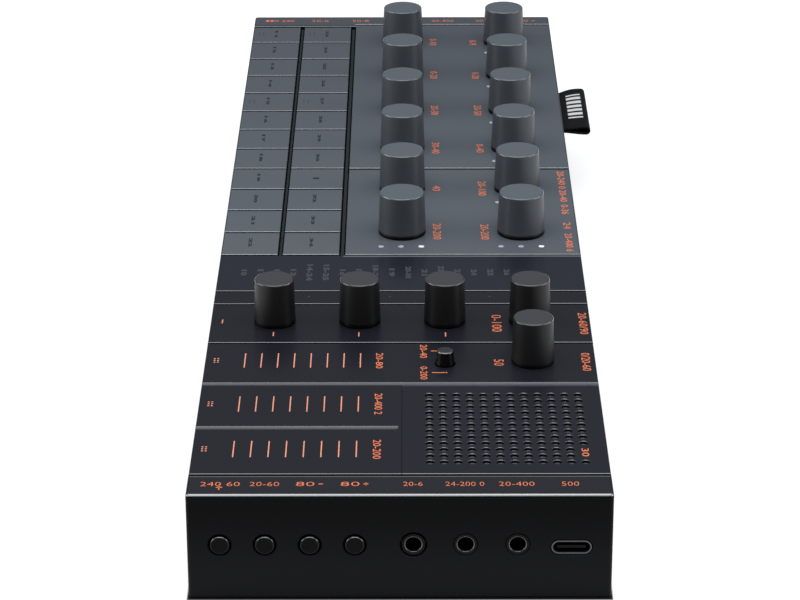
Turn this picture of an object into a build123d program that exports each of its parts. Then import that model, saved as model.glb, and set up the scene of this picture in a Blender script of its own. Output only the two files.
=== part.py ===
"""Slim portable drum machine: 24 pads, 17 knobs, a mode lever and four end buttons in one case.

Millimetres. X runs across the case, Y along it with the socket end at -Y, Z up from the desk.
The origin is the middle of the case's footprint on the desk.
"""

import os
from math import radians, tan

from build123d import *

os.makedirs("parts", exist_ok=True)

# --- Case -----------------------------------------------------------------------------
case_width = 97.0
case_length = 343.0
case_height = 26.3
case_wall = 2.2
case_corner = 1.0
case_edge = 0.8
foot_proud = 0.3
deck_thickness = 1.6

# --- Cover plates, flush with each other at the top -----------------------------------
plate_thickness = 2.4
plate_edge = 0.35
plate_gap = 0.5
plate_reveal = 0.1
end_strip = 10.2
row_pitch = 24.2
indicator_band = 8.4
display_band = 24.44
far_groove_shift = 2.1
voice_rows = 8
fine_groove = 0.5
row_slot_width = 0.55
row_slot_depth = 1.2
ridge_groove_width = 1.9
ridge_groove_depth = 0.35

# --- Pads -----------------------------------------------------------------------------
pad_columns = 2
pad_rows = 12
pad_width = 15.5
pad_column_gap = 1.0
pad_row_gap = 0.5
pad_panel_gap = 1.3
pad_height = 3.6
pad_skin = 1.4
pad_edge = 0.4
pad_travel = 1.2
pad_stem_radius = 2.5
pad_stem_length = 7.0
guide_clearance = 0.12
stop_clearance = 0.3

# --- Knobs ----------------------------------------------------------------------------
knob_gap = 0.8
knob_height = 11.1
knob_wall = 1.2
knob_edge = 0.4
spindle_radius = 3.0
spindle_depth = 8.0
spindle_clearance = 0.05
bushing_radius = 3.5
bushing_drop = 0.3
encoder_width = 11.8
encoder_height = 6.5
track_knob_radius = 6.5
track_knob_top_radius = 6.05
track_knob_rows = 6
track_column_margins = (48.15, 15.7)
sound_knob_radius = 5.3
sound_knob_top_radius = 4.97
sound_knob_count = 4
sound_knob_left_margin = 16.5
sound_knob_right_margin = 15.55
row_centre_shift = 1.3

# --- Mode lever -----------------------------------------------------------------------
lever_offset = 21.7
lever_nearer = 1.6
lever_height = 3.7
lever_radius = 2.0
lever_skirt_radius = 2.4
lever_skirt_gap = 0.3
lever_edge = 0.35
lever_swing = 5.0
lever_pivot_drop = 5.8
lever_clearance = 0.1
trunnion_radius = 1.0
trunnion_length = 7.6
lever_tail = 4.5
lever_switch_width = 8.6

# --- End buttons and sockets ----------------------------------------------------------
socket_drop = 12.8
usb_drop = 13.5
button_margin = 7.5
button_count = 4
socket_gap = 13.35
button_radius = 2.22
button_edge = 0.35
button_proud = 0.35
button_hole_clearance = 0.43
hole_chamfer = 0.2
button_travel = 0.7
button_flange = 0.8
button_flange_thickness = 0.8
button_stem_radius = 1.2
button_stem_length = 4.0
side_switch_width = 6.0
side_switch_depth = 3.5
jack_pitch = 11.87
jack_hole_radius = (3.15, 2.85, 2.85)
jack_nose_radius = 2.65
jack_bore_radius = 1.8
jack_bore_depth = 14.0
jack_body_width = 6.4
jack_body_length = 14.5
jack_inset = 0.2
jack_lip = 0.3
usb_margin = 9.4
usb_gap = 12.25
usb_width = 9.2
usb_height = 3.4
usb_shell = 0.35
usb_depth = 7.5
usb_slot_clearance = 0.25
usb_tongue_thickness = 0.7
usb_tongue_width = 6.6

# --- Grille, speaker and display ------------------------------------------------------
grille_margin = 48.0
grille_seam = 0.1
grille_hole_radius = 0.95
grille_hole_chamfer = 0.15
grille_pitch = 3.266
grille_count = 12
grille_centre_margin = 23.55
mic_hole_radius = 0.9
mic_bare_rows = 3
speaker_radius = 18.0
speaker_depth = 6.8
speaker_flange = 1.2
speaker_magnet_radius = 9.0
speaker_cone_depth = 2.3
speaker_dome_radius = 6.0
speaker_basket_depth = 4.1
notch_radius = 0.9
display_opening_margin = 6.0

# --- Board, battery, cover, screws, feet ----------------------------------------------
cover_thickness = 2.0
cover_gap = 0.15
board_thickness = 1.6
board_gap = 0.5
board_seat_drop = 15.4
battery_width = 56.0
battery_length = 110.0
battery_height = 6.6
battery_pad_rows = 3
battery_corner = 3.3
battery_edge = 1.6
post_radius = 2.5
near_post_margin = 41.3
middle_post_margin = 6.7
far_post_margin = 61.3
boss_radius = 3.0
boss_inset = 4.9
near_boss_margin = 11.3
display_boss_margin = 8.1
middle_boss_rows = 6
far_boss_rows = 1
boss_clearance = 0.3
screw_radius = 0.95
screw_length = 8.0
screw_head_radius = 2.1
screw_head_height = 1.2
screw_clearance = 0.05
screw_head_recess = 0.3
screw_slot_length = 3.3
screw_slot_width = 0.7
screw_slot_depth = 0.6
foot_radius = 5.0
foot_thickness = 1.2
foot_inset_x = 14.0
foot_inset_y = 15.5
foot_clearance = 0.1

# --- Unseen button strips -------------------------------------------------------------
cap_radius = 2.35
cap_proud = 0.25
cap_clearance = 0.25
strip_thickness = 1.0
strip_height = 4.9
strip_margin = 4.5
strip_clearance = 0.05
cap_edge = 0.3
far_cap_margin = 8.0
far_cap_count = 3
side_cap_margin = 8.2
side_cap_pitch = 12.0
side_cap_count = 5

# --- Woven tag ------------------------------------------------------------------------
tag_reach = 8.3
tag_length = 34.6
tag_margin = 78.5
tag_drop = 4.6
tag_root_height = 1.4
tag_belly = 2.5
tag_cloth = 0.55
tag_tail = 1.6

# --- Worked out -----------------------------------------------------------------------
case_bottom = foot_proud
panel_z = case_bottom + case_height
deck_z = panel_z - plate_thickness
deck_underside = deck_z - deck_thickness
pad_base_z = panel_z - pad_height
pad_deck_z = pad_base_z - pad_travel - stop_clearance
pad_deck_underside = pad_deck_z - deck_thickness
half_width = case_width / 2
half_length = case_length / 2
inner_half_width = half_width - case_wall
inner_half_length = half_length - case_wall
plate_half_width = half_width - plate_reveal
strip_near_y = -half_length + end_strip
strip_far_y = half_length - end_strip
row_lines = [strip_near_y + step * row_pitch for step in range(5)]
indicator_far_y = row_lines[-1] + indicator_band
pad_near_y = indicator_far_y + display_band
pad_pitch = (strip_far_y - pad_near_y) / pad_rows
pad_column_x = [
    -plate_half_width + pad_width / 2 + step * (pad_width + pad_column_gap) for step in range(pad_columns)
]
panel_left_x = pad_column_x[-1] + pad_width / 2 + pad_panel_gap
pad_row_y = [strip_far_y - (row + 0.5) * pad_pitch for row in range(pad_rows)]
track_knob_y = [strip_far_y - (2 * row + 1) * pad_pitch for row in range(track_knob_rows)]
sound_row_y = (row_lines[3] + row_lines[4]) / 2 + row_centre_shift
effect_row_y = (row_lines[2] + row_lines[3]) / 2 + row_centre_shift
track_column_x = [half_width - margin for margin in track_column_margins]
track_knob_places = [(x, y) for x in track_column_x for y in track_knob_y]
sound_knob_x = -half_width + sound_knob_left_margin
sound_knob_pitch = (half_width - sound_knob_right_margin - sound_knob_x) / (sound_knob_count - 1)
sound_knob_places = [
    (sound_knob_x + step * sound_knob_pitch, sound_row_y) for step in range(sound_knob_count)
]
effect_knob_place = (track_column_x[-1], effect_row_y)
lever_x = track_column_x[-1] - lever_offset
lever_y = effect_row_y - lever_nearer
knob_places = track_knob_places + sound_knob_places + [effect_knob_place]
bushing_top_z = deck_z - bushing_drop
board_top_z = panel_z - board_seat_drop
board_base_z = board_top_z - board_thickness
cover_top_z = case_bottom + cover_thickness
socket_z = panel_z - socket_drop
usb_z = panel_z - usb_drop
usb_x = half_width - usb_margin
jack_x = [usb_x - usb_gap - step * jack_pitch for step in reversed(range(len(jack_hole_radius)))]
button_x = -half_width + button_margin
button_pitch = (jack_x[0] - socket_gap - button_x) / (button_count - 1)
button_places = [(button_x + step * button_pitch, socket_z) for step in range(button_count)]
jack_places = [(x, socket_z) for x in jack_x]
boss_x = half_width - boss_inset
boss_rows = [
    strip_near_y + near_boss_margin,
    indicator_far_y + display_boss_margin,
    strip_far_y - middle_boss_rows * pad_pitch,
    strip_far_y - far_boss_rows * pad_pitch,
]
post_rows = [
    strip_near_y + near_post_margin,
    pad_near_y + middle_post_margin,
    strip_far_y - far_post_margin,
]
boss_places = [(side * boss_x, y) for side in (-1, 1) for y in boss_rows]
foot_x = half_width - foot_inset_x
foot_y = half_length - foot_inset_y
foot_places = [(side * foot_x, row * foot_y) for side in (-1, 1) for row in (-1, 0, 1)]
battery_y = pad_near_y + battery_pad_rows * pad_pitch
pad_stem_end_z = pad_base_z - pad_stem_length
pivot_z = panel_z - lever_pivot_drop
grille_x = half_width - grille_margin
grille_centre_x = half_width - grille_centre_margin
grille_y = (row_lines[0] + row_lines[2]) / 2
grille_far_y = row_lines[2] - ridge_groove_width / 2 - plate_gap / 2
voice_split_y = strip_far_y - voice_rows * pad_pitch
grille_offsets = [(step - (grille_count - 1) / 2) * grille_pitch for step in range(grille_count)]
mic_place = (grille_centre_x + grille_offsets[-1], grille_y + grille_offsets[0])
grille_holes = [
    (grille_centre_x + across, grille_y + along)
    for across in grille_offsets
    for along in grille_offsets
    if across < grille_offsets[-1] or along > grille_offsets[mic_bare_rows - 1]
]
lever_hole_radius = lever_radius + lever_pivot_drop * tan(radians(lever_swing)) + lever_clearance
tag_z = panel_z - tag_drop
tag_y = half_length - tag_margin
far_cap_pitch = (half_width - far_cap_margin) / far_cap_count
far_cap_x = [side * step * far_cap_pitch for side in (-1, 1) for step in range(1, far_cap_count + 1)]
side_cap_groups = [
    (effect_row_y, sound_row_y),
    [pad_near_y + side_cap_margin + step * side_cap_pitch for step in range(side_cap_count)],
]
side_cap_y = [y for group in side_cap_groups for y in group]
knob_base_z = panel_z + knob_gap
plate_half_length = half_length - plate_reveal


def save(part, label):
    """Labels a finished piece and writes its STEP file."""
    part.label = label
    export_step(part, f"parts/{label}.step")


def near_face(y):
    """A sketch plane that faces the user at the socket end: its x is X and its y is Z."""
    return Plane(origin=(0, y, 0), x_dir=(1, 0, 0), z_dir=(0, -1, 0))


def side_face(x):
    """A sketch plane that faces +X: its x is Y and its y is Z."""
    return Plane(origin=(x, 0, 0), x_dir=(0, 1, 0), z_dir=(1, 0, 0))


# --- Top case: walls, deck, near end strip and screw bosses ---------------------------
with BuildPart() as top_case:
    with BuildSketch(Plane.XY.offset(case_bottom)):
        RectangleRounded(case_width, case_length, case_corner)
    extrude(amount=case_height)
    fillet(top_case.edges().group_by(Axis.Z)[-1], case_edge)
    # The cover plates lie on the deck, from the near strip to the far end.
    with BuildSketch(Plane.XY.offset(deck_z)):
        with Locations((0, strip_near_y)):
            Rectangle(case_width, case_length, align=(Align.CENTER, Align.MIN))
    extrude(amount=plate_thickness, mode=Mode.SUBTRACT)
    # The pads stand over a lower deck that is open to the left side.
    with BuildSketch(Plane.XY.offset(pad_deck_z)):
        with Locations((panel_left_x + stop_clearance, pad_near_y)):
            Rectangle(case_width, pad_rows * pad_pitch, align=(Align.MAX, Align.MIN))
    extrude(amount=case_height, mode=Mode.SUBTRACT)
    # The cavity under both decks is open at the bottom.
    with BuildSketch(Plane.XY.offset(case_bottom)):
        Rectangle(2 * inner_half_width, 2 * inner_half_length)
    extrude(amount=pad_deck_underside - case_bottom, mode=Mode.SUBTRACT)
    with BuildSketch(Plane.XY.offset(pad_deck_underside)):
        with Locations((inner_half_width, 0)):
            Rectangle(
                inner_half_width - panel_left_x - stop_clearance - deck_thickness,
                2 * inner_half_length,
                align=(Align.MAX, Align.CENTER),
            )
        with Locations((0, -inner_half_length)):
            Rectangle(
                2 * inner_half_width,
                pad_near_y - deck_thickness + inner_half_length,
                align=(Align.CENTER, Align.MIN),
            )
    extrude(amount=deck_underside - pad_deck_underside, mode=Mode.SUBTRACT)
    # Screw bosses grow out of the side walls.
    with BuildSketch(Plane.XY.offset(cover_top_z)):
        with Locations(*boss_places):
            Circle(boss_radius)
    extrude(amount=pad_deck_underside - cover_top_z)
    with BuildSketch(Plane.XY.offset(cover_top_z)):
        with Locations(*boss_places):
            Circle(screw_radius + screw_clearance)
    extrude(amount=screw_length, mode=Mode.SUBTRACT)
    # Holes in the decks for the knob bushings, the pad stems, the lever and the speaker.
    with BuildSketch(Plane.XY.offset(deck_underside)):
        with Locations(*knob_places):
            Circle(bushing_radius + guide_clearance)
        with Locations((lever_x, lever_y)):
            Circle(lever_hole_radius + lever_clearance)
        with Locations((grille_centre_x, grille_y)):
            Circle(speaker_radius - speaker_flange)
        with Locations((0, (indicator_far_y + pad_near_y) / 2)):
            Rectangle(
                case_width - 2 * display_opening_margin,
                pad_near_y - indicator_far_y - 2 * display_opening_margin,
            )
    extrude(amount=deck_thickness, mode=Mode.SUBTRACT)
    with BuildSketch(Plane.XY.offset(pad_deck_underside)):
        with Locations(*[(x, y) for x in pad_column_x for y in pad_row_y]):
            Circle(pad_stem_radius + guide_clearance)
    extrude(amount=deck_thickness, mode=Mode.SUBTRACT)
    # Openings in the near end wall for the buttons and the sockets.
    with BuildSketch(near_face(-half_length)):
        with Locations(*button_places):
            Circle(button_radius + button_hole_clearance)
        for place, radius in zip(jack_places, jack_hole_radius):
            with Locations(place):
                Circle(radius)
        with Locations((usb_x, usb_z)):
            slot_height = usb_height + 2 * usb_slot_clearance
            SlotOverall(usb_width + 2 * usb_slot_clearance, slot_height)
    extrude(amount=-case_wall, mode=Mode.SUBTRACT)
    near_wall_face = top_case.faces().sort_by(Axis.Y)[0]
    chamfer([edge for wire in near_wall_face.inner_wires() for edge in wire.edges()], hole_chamfer)
    # Openings for the caps in the far end wall and the right side wall.
    with BuildSketch(near_face(half_length)):
        with Locations(*[(x, socket_z) for x in far_cap_x]):
            Circle(cap_radius + cap_clearance)
    extrude(amount=case_wall, mode=Mode.SUBTRACT)
    with BuildSketch(side_face(half_width)):
        with Locations(*[(y, socket_z) for y in side_cap_y]):
            Circle(cap_radius + cap_clearance)
    extrude(amount=-case_wall, mode=Mode.SUBTRACT)
    # A thumb notch in the near strip, and the slit that holds the woven tag.
    with BuildSketch(Plane.XY.offset(deck_z)):
        with Locations((grille_x - grille_seam, strip_near_y)):
            Circle(notch_radius)
    extrude(amount=plate_thickness, mode=Mode.SUBTRACT)
    with BuildSketch(side_face(half_width)):
        with Locations((tag_y, tag_z)):
            Rectangle(tag_length + 2 * cap_clearance, tag_root_height + 2 * cap_clearance)
    extrude(amount=-case_wall, mode=Mode.SUBTRACT)
save(top_case.part, "top_case")

# --- Bottom cover: a flat plate set between the walls, with posts under the board -----
with BuildPart() as bottom_cover:
    with BuildSketch(Plane.XY.offset(case_bottom)):
        Rectangle(2 * (inner_half_width - cover_gap), 2 * (inner_half_length - cover_gap))
    extrude(amount=cover_thickness)
    with BuildSketch(Plane.XY.offset(cover_top_z)):
        with Locations(*[(side * foot_x, y) for side in (-1, 1) for y in post_rows]):
            Circle(post_radius)
    extrude(amount=board_base_z - cover_top_z)
    with BuildSketch(Plane.XY.offset(case_bottom)):
        with Locations(*boss_places):
            Circle(screw_radius + guide_clearance)
    extrude(amount=cover_thickness, mode=Mode.SUBTRACT)
    with BuildSketch(Plane.XY.offset(case_bottom)):
        with Locations(*boss_places):
            Circle(screw_head_radius + guide_clearance)
    extrude(amount=screw_head_recess + screw_head_height, mode=Mode.SUBTRACT)
    with BuildSketch(Plane.XY.offset(case_bottom)):
        with Locations(*foot_places):
            Circle(foot_radius + foot_clearance)
    extrude(amount=foot_thickness - foot_proud, mode=Mode.SUBTRACT)
save(bottom_cover.part, "bottom_cover")

# --- Case screws, one solid each ------------------------------------------------------
with BuildPart() as case_screws:
    head_z = case_bottom + screw_head_recess
    with BuildSketch(Plane.XY.offset(head_z)):
        with Locations(*boss_places):
            Circle(screw_head_radius)
    extrude(amount=screw_head_height)
    with BuildSketch(Plane.XY.offset(head_z + screw_head_height)):
        with Locations(*boss_places):
            Circle(screw_radius)
    extrude(amount=screw_length - screw_head_height)
    with BuildSketch(Plane.XY.offset(head_z)):
        with Locations(*boss_places):
            Rectangle(screw_slot_length, screw_slot_width)
            Rectangle(screw_slot_width, screw_slot_length)
    extrude(amount=screw_slot_depth, mode=Mode.SUBTRACT)
save(case_screws.part, "case_screws")

# --- Rubber feet ----------------------------------------------------------------------
with BuildPart() as rubber_feet:
    with BuildSketch(Plane.XY):
        with Locations(*foot_places):
            Circle(foot_radius)
    extrude(amount=foot_thickness)
    chamfer(rubber_feet.edges().group_by(Axis.Z)[0], foot_proud / 2)
save(rubber_feet.part, "rubber_feet")

# --- Main board with its soldered encoders and switches -------------------------------
with BuildPart() as main_board:
    with BuildSketch(Plane.XY.offset(board_base_z)):
        Rectangle(2 * (inner_half_width - board_gap), 2 * (inner_half_length - board_gap))
        with Locations(*boss_places):
            Circle(boss_radius + boss_clearance, mode=Mode.SUBTRACT)
        # A bay for the end buttons, whose flanges hang below the board's top.
        with Locations((-half_width, -half_length)):
            bay_width = button_places[-1][0] + half_width + button_radius + 2 * button_flange
            bay_depth = case_wall + button_flange_thickness + button_travel + board_gap
            Rectangle(bay_width, bay_depth, align=Align.MIN, mode=Mode.SUBTRACT)
    extrude(amount=board_thickness)
    with BuildSketch(Plane.XY.offset(board_top_z)):
        with Locations(*knob_places):
            Rectangle(encoder_width, encoder_width)
    extrude(amount=encoder_height)
    with BuildSketch(Plane.XY.offset(board_top_z + encoder_height)):
        with Locations(*knob_places):
            Circle(bushing_radius)
    extrude(amount=bushing_top_z - board_top_z - encoder_height)
    with BuildSketch(Plane.XY.offset(bushing_top_z)):
        with Locations(*knob_places):
            Circle(spindle_radius + spindle_clearance)
    extrude(amount=-spindle_depth, mode=Mode.SUBTRACT)
    with BuildSketch(Plane.XY.offset(board_top_z)):
        with Locations(*[(x, y) for x in pad_column_x for y in pad_row_y]):
            Rectangle(2 * pad_stem_radius, 2 * pad_stem_radius)
    extrude(amount=pad_stem_end_z - pad_travel - guide_clearance - board_top_z)
    # Side switches wait behind the stems of the end buttons.
    with BuildSketch(Plane.XY.offset(board_top_z)):
        stem_end_y = -inner_half_length + button_flange_thickness + button_stem_length
        switch_y = stem_end_y + button_travel + guide_clearance
        with Locations(*[(x, switch_y) for x, _ in button_places]):
            Rectangle(side_switch_width, side_switch_depth, align=(Align.CENTER, Align.MIN))
    extrude(amount=socket_z - board_top_z + button_stem_radius)
    # The lever switch: a housing with two ears that hold the lever's trunnions.
    with BuildSketch(Plane.XY.offset(board_top_z)):
        with Locations((lever_x, lever_y)):
            Rectangle(lever_switch_width, lever_switch_width)
    extrude(amount=deck_underside - guide_clearance - board_top_z)
    with BuildSketch(Plane.XY.offset(pivot_z - lever_tail - stop_clearance)):
        with Locations((lever_x, lever_y)):
            Rectangle(2 * (lever_radius + lever_clearance), lever_switch_width)
    extrude(amount=case_height, mode=Mode.SUBTRACT)
    with BuildSketch(side_face(lever_x - lever_switch_width / 2)):
        with Locations((lever_y, pivot_z)):
            Circle(trunnion_radius + spindle_clearance)
    extrude(amount=lever_switch_width, mode=Mode.SUBTRACT)
save(main_board.part, "main_board")

# --- Battery pack, resting on the bottom cover ----------------------------------------
with BuildPart() as battery_pack:
    with BuildSketch(Plane.XY.offset(cover_top_z)):
        with Locations((0, battery_y)):
            RectangleRounded(battery_width, battery_length, battery_corner)
    extrude(amount=battery_height)
    fillet(battery_pack.edges().group_by(Axis.Z)[-1], battery_edge)
save(battery_pack.part, "battery_pack")

# --- Speaker, glued under the deck ----------------------------------------------------
with BuildPart() as speaker:
    with BuildSketch(near_face(grille_y).shift_origin((grille_centre_x, grille_y, deck_underside))):
        with BuildLine():
            Polyline(
                (0, -speaker_cone_depth),
                (speaker_dome_radius, -speaker_cone_depth),
                (speaker_radius - 2 * speaker_flange, -speaker_flange),
                (speaker_radius - speaker_flange, 0),
                (speaker_radius, 0),
                (speaker_radius, -speaker_flange),
                (speaker_magnet_radius, -speaker_basket_depth),
                (speaker_magnet_radius, -speaker_depth),
                (0, -speaker_depth),
                close=True,
            )
        make_face()
    revolve(axis=Axis((grille_centre_x, grille_y, 0), (0, 0, 1)))
save(speaker.part, "speaker")

# --- Sockets: three round jacks and one USB-C shell, each its own solid ---------------
with BuildPart() as sockets:
    nose_y = -half_length + jack_inset
    body_y = -inner_half_length + guide_clearance
    with BuildSketch(near_face(nose_y)):
        with Locations(*jack_places):
            Circle(jack_nose_radius)
    extrude(amount=nose_y - body_y)
    with BuildSketch(near_face(body_y)):
        with Locations(*jack_places):
            Rectangle(jack_body_width, 2 * (socket_z - board_top_z))
    extrude(amount=-jack_body_length)
    with BuildSketch(near_face(nose_y)):
        with Locations(*jack_places):
            Circle(jack_bore_radius)
    extrude(amount=-jack_bore_depth, mode=Mode.SUBTRACT)
    nose_faces = sockets.faces().filter_by(Plane.XZ).sort_by(Axis.Y)[: len(jack_places)]
    fillet([edge for face in nose_faces for edge in face.inner_wires()[0].edges()], jack_lip)
    with BuildSketch(near_face(nose_y)):
        with Locations((usb_x, usb_z)):
            SlotOverall(usb_width, usb_height)
    extrude(amount=-usb_depth)
    with BuildSketch(near_face(body_y)):
        with Locations((usb_x, usb_z)):
            Rectangle(usb_width, 2 * (usb_z - board_top_z))
    extrude(amount=-usb_depth)
    with BuildSketch(near_face(nose_y)):
        with Locations((usb_x, usb_z)):
            SlotOverall(usb_width - 2 * usb_shell, usb_height - 2 * usb_shell)
    extrude(amount=-usb_depth, mode=Mode.SUBTRACT)
    with BuildSketch(near_face(nose_y + usb_shell)):
        with Locations((usb_x, usb_z)):
            Rectangle(usb_tongue_width, usb_tongue_thickness)
    extrude(amount=-usb_depth)
save(sockets.part, "sockets")

# --- Cover plates ---------------------------------------------------------------------
with BuildPart() as track_panel:
    with BuildSketch(Plane.XY.offset(deck_z)):
        with Locations((plate_half_width, plate_half_length)):
            field_length = plate_half_length - pad_near_y - plate_gap / 2
            Rectangle(plate_half_width - panel_left_x, field_length, align=Align.MAX)
        with Locations((0, plate_half_length)):
            strip_depth = plate_half_length - strip_far_y - pad_row_gap / 2
            Rectangle(2 * plate_half_width, strip_depth, align=(Align.CENTER, Align.MAX))
    extrude(amount=plate_thickness)
    fillet(track_panel.edges().filter_by(Axis.Z).group_by(Axis.Y)[-1], case_corner)
    fillet(track_panel.faces().sort_by(Axis.Z)[-1].edges(), plate_edge)
    with BuildSketch(Plane.XY.offset(deck_z)):
        with Locations(*track_knob_places):
            Circle(spindle_radius + stop_clearance)
    extrude(amount=plate_thickness, mode=Mode.SUBTRACT)
    # Two fine V grooves: beside the far strip, and between the eighth and ninth pad rows.
    with BuildSketch(side_face(panel_left_x - plate_edge)):
        with Locations((strip_far_y + far_groove_shift, panel_z), (voice_split_y, panel_z)):
            Rectangle(fine_groove, fine_groove, rotation=45)
    extrude(amount=case_width, mode=Mode.SUBTRACT)
save(track_panel.part, "track_panel")

with BuildPart() as display_window:
    with BuildSketch(Plane.XY.offset(deck_z)):
        with Locations((0, indicator_far_y + plate_gap / 2)):
            window_length = pad_near_y - indicator_far_y - plate_gap
            Rectangle(2 * plate_half_width, window_length, align=(Align.CENTER, Align.MIN))
    extrude(amount=plate_thickness)
    fillet(display_window.faces().sort_by(Axis.Z)[-1].edges(), plate_edge)
save(display_window.part, "display_window")

with BuildPart() as control_panel:
    with BuildSketch(Plane.XY.offset(deck_z)):
        with Locations((0, strip_near_y + plate_gap / 2)):
            plate_length = indicator_far_y - strip_near_y - plate_gap
            Rectangle(2 * plate_half_width, plate_length, align=(Align.CENTER, Align.MIN))
        # The corner that the grille plate fills.
        with Locations((grille_x - grille_seam, grille_far_y + plate_gap)):
            Rectangle(case_width, case_length, align=(Align.MIN, Align.MAX), mode=Mode.SUBTRACT)
    extrude(amount=plate_thickness)
    # Narrow slots part the indicator band and the two knob rows.
    with BuildSketch(Plane.XY.offset(panel_z)):
        with Locations((0, row_lines[3]), (0, row_lines[4])):
            Rectangle(case_width, row_slot_width)
    extrude(amount=-row_slot_depth, mode=Mode.SUBTRACT)
    # Every top edge is rounded, apart from the one at the closed seam with the grille plate.
    top_edges = [edge for face in control_panel.faces().group_by(Axis.Z)[-1] for edge in face.edges()]
    seam_x = grille_x - grille_seam
    fillet([edge for edge in top_edges if abs(edge.center().X - seam_x) > grille_seam / 2], plate_edge)
    # Wide shallow grooves guide a finger along the touch rows.
    ridge_radius = (ridge_groove_width**2 / 4 + ridge_groove_depth**2) / (2 * ridge_groove_depth)
    with BuildSketch(side_face(-half_width)):
        with Locations((row_lines[2], panel_z + ridge_radius - ridge_groove_depth)):
            Circle(ridge_radius)
    extrude(amount=case_width, mode=Mode.SUBTRACT)
    with BuildSketch(side_face(-half_width)):
        with Locations((row_lines[1], panel_z + ridge_radius - ridge_groove_depth)):
            Circle(ridge_radius)
    extrude(amount=half_width + grille_x - ridge_groove_width / 2, mode=Mode.SUBTRACT)
    with BuildSketch(Plane.XY.offset(deck_z)):
        with Locations(*sound_knob_places, effect_knob_place):
            Circle(spindle_radius + stop_clearance)
        with Locations((lever_x, lever_y)):
            Circle(lever_hole_radius)
    extrude(amount=plate_thickness, mode=Mode.SUBTRACT)
save(control_panel.part, "control_panel")

with BuildPart() as speaker_grille:
    with BuildSketch(Plane.XY.offset(deck_z)):
        with Locations((plate_half_width, grille_far_y)):
            grille_length = grille_far_y - strip_near_y - plate_gap / 2
            Rectangle(plate_half_width - grille_x, grille_length, align=Align.MAX)
    extrude(amount=plate_thickness)
    grille_edges = speaker_grille.faces().sort_by(Axis.Z)[-1].edges()
    fillet([edge for edge in grille_edges if edge.center().X > grille_x + grille_seam], plate_edge)
    with BuildSketch(Plane.XY.offset(deck_z)):
        with Locations(*grille_holes):
            Circle(grille_hole_radius)
        with Locations(mic_place):
            Circle(mic_hole_radius)
    extrude(amount=plate_thickness, mode=Mode.SUBTRACT)
    top_face = speaker_grille.faces().filter_by(Plane.XY).sort_by(Axis.Z)[-1]
    chamfer([edge for wire in top_face.inner_wires() for edge in wire.edges()], grille_hole_chamfer)
save(speaker_grille.part, "speaker_grille")


# --- Pads: hollow caps on guide stems, which return on their switches -----------------
def make_pad(x, y):
    """One pad at rest, its top flush with the plates."""
    pad_length = pad_pitch - pad_row_gap
    with BuildPart() as pad:
        with BuildSketch(Plane((x, y, pad_base_z))):
            Rectangle(pad_width, pad_length)
        extrude(amount=pad_height)
        fillet(pad.faces().sort_by(Axis.Z)[-1].edges(), pad_edge)
        with BuildSketch(Plane((x, y, pad_base_z))):
            Rectangle(pad_width - 2 * pad_skin, pad_length - 2 * pad_skin)
        extrude(amount=pad_height - pad_skin, mode=Mode.SUBTRACT)
        with BuildSketch(Plane((x, y, pad_stem_end_z))):
            Circle(pad_stem_radius)
        extrude(amount=panel_z - pad_skin - pad_stem_end_z)
    return pad.part


for column, x in enumerate(pad_column_x):
    for row, y in enumerate(pad_row_y):
        save(make_pad(x, y), f"pad_{column * pad_rows + row + 1:02d}")


# --- Knobs: a tapered cap and the spindle that turns in the encoder's bushing ---------
def make_knob(x, y, base_radius, top_radius):
    """One knob with its spindle; the gap under its skirt lets it turn freely."""
    spindle_base_z = bushing_top_z - spindle_depth + stop_clearance
    with BuildPart() as knob:
        with Locations((x, y, knob_base_z)):
            Cone(base_radius, top_radius, knob_height, align=(Align.CENTER, Align.CENTER, Align.MIN))
        fillet(knob.edges().sort_by(Axis.Z)[-1], knob_edge)
        with BuildSketch(Plane((x, y, knob_base_z))):
            Circle(base_radius - knob_wall)
        extrude(amount=knob_height - 2 * knob_wall, mode=Mode.SUBTRACT)
        with BuildSketch(Plane((x, y, spindle_base_z))):
            Circle(spindle_radius)
        extrude(amount=knob_base_z + knob_height - knob_wall - spindle_base_z)
    return knob.part


for number, (x, y) in enumerate(track_knob_places, start=1):
    knob_part = make_knob(x, y, track_knob_radius, track_knob_top_radius)
    save(knob_part, f"track_knob_{number:02d}")
for number, (x, y) in enumerate(sound_knob_places, start=1):
    knob_part = make_knob(x, y, sound_knob_radius, sound_knob_top_radius)
    save(knob_part, f"sound_knob_{number}")
save(make_knob(*effect_knob_place, sound_knob_radius, sound_knob_top_radius), "effect_knob")

# --- Mode lever: a short stick on two trunnions in the lever switch -------------------
with BuildPart() as mode_lever:
    with BuildSketch(Plane((lever_x, lever_y, pivot_z))):
        Circle(lever_radius)
    extrude(amount=lever_pivot_drop + lever_height - lever_edge)
    with Locations((lever_x, lever_y, panel_z + lever_skirt_gap)):
        skirt_height = lever_height - lever_skirt_gap
        skirt_align = (Align.CENTER, Align.CENTER, Align.MIN)
        Cone(lever_skirt_radius, lever_radius, skirt_height, align=skirt_align)
    fillet(mode_lever.edges().sort_by(Axis.Z)[-1], lever_edge)
    with BuildSketch(Plane((lever_x, lever_y, pivot_z))):
        Circle(trunnion_radius)
    extrude(amount=-lever_tail)
    with BuildSketch(side_face(lever_x - trunnion_length / 2)):
        with Locations((lever_y, pivot_z)):
            Circle(trunnion_radius)
    extrude(amount=trunnion_length)
save(mode_lever.part, "mode_lever")


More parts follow.
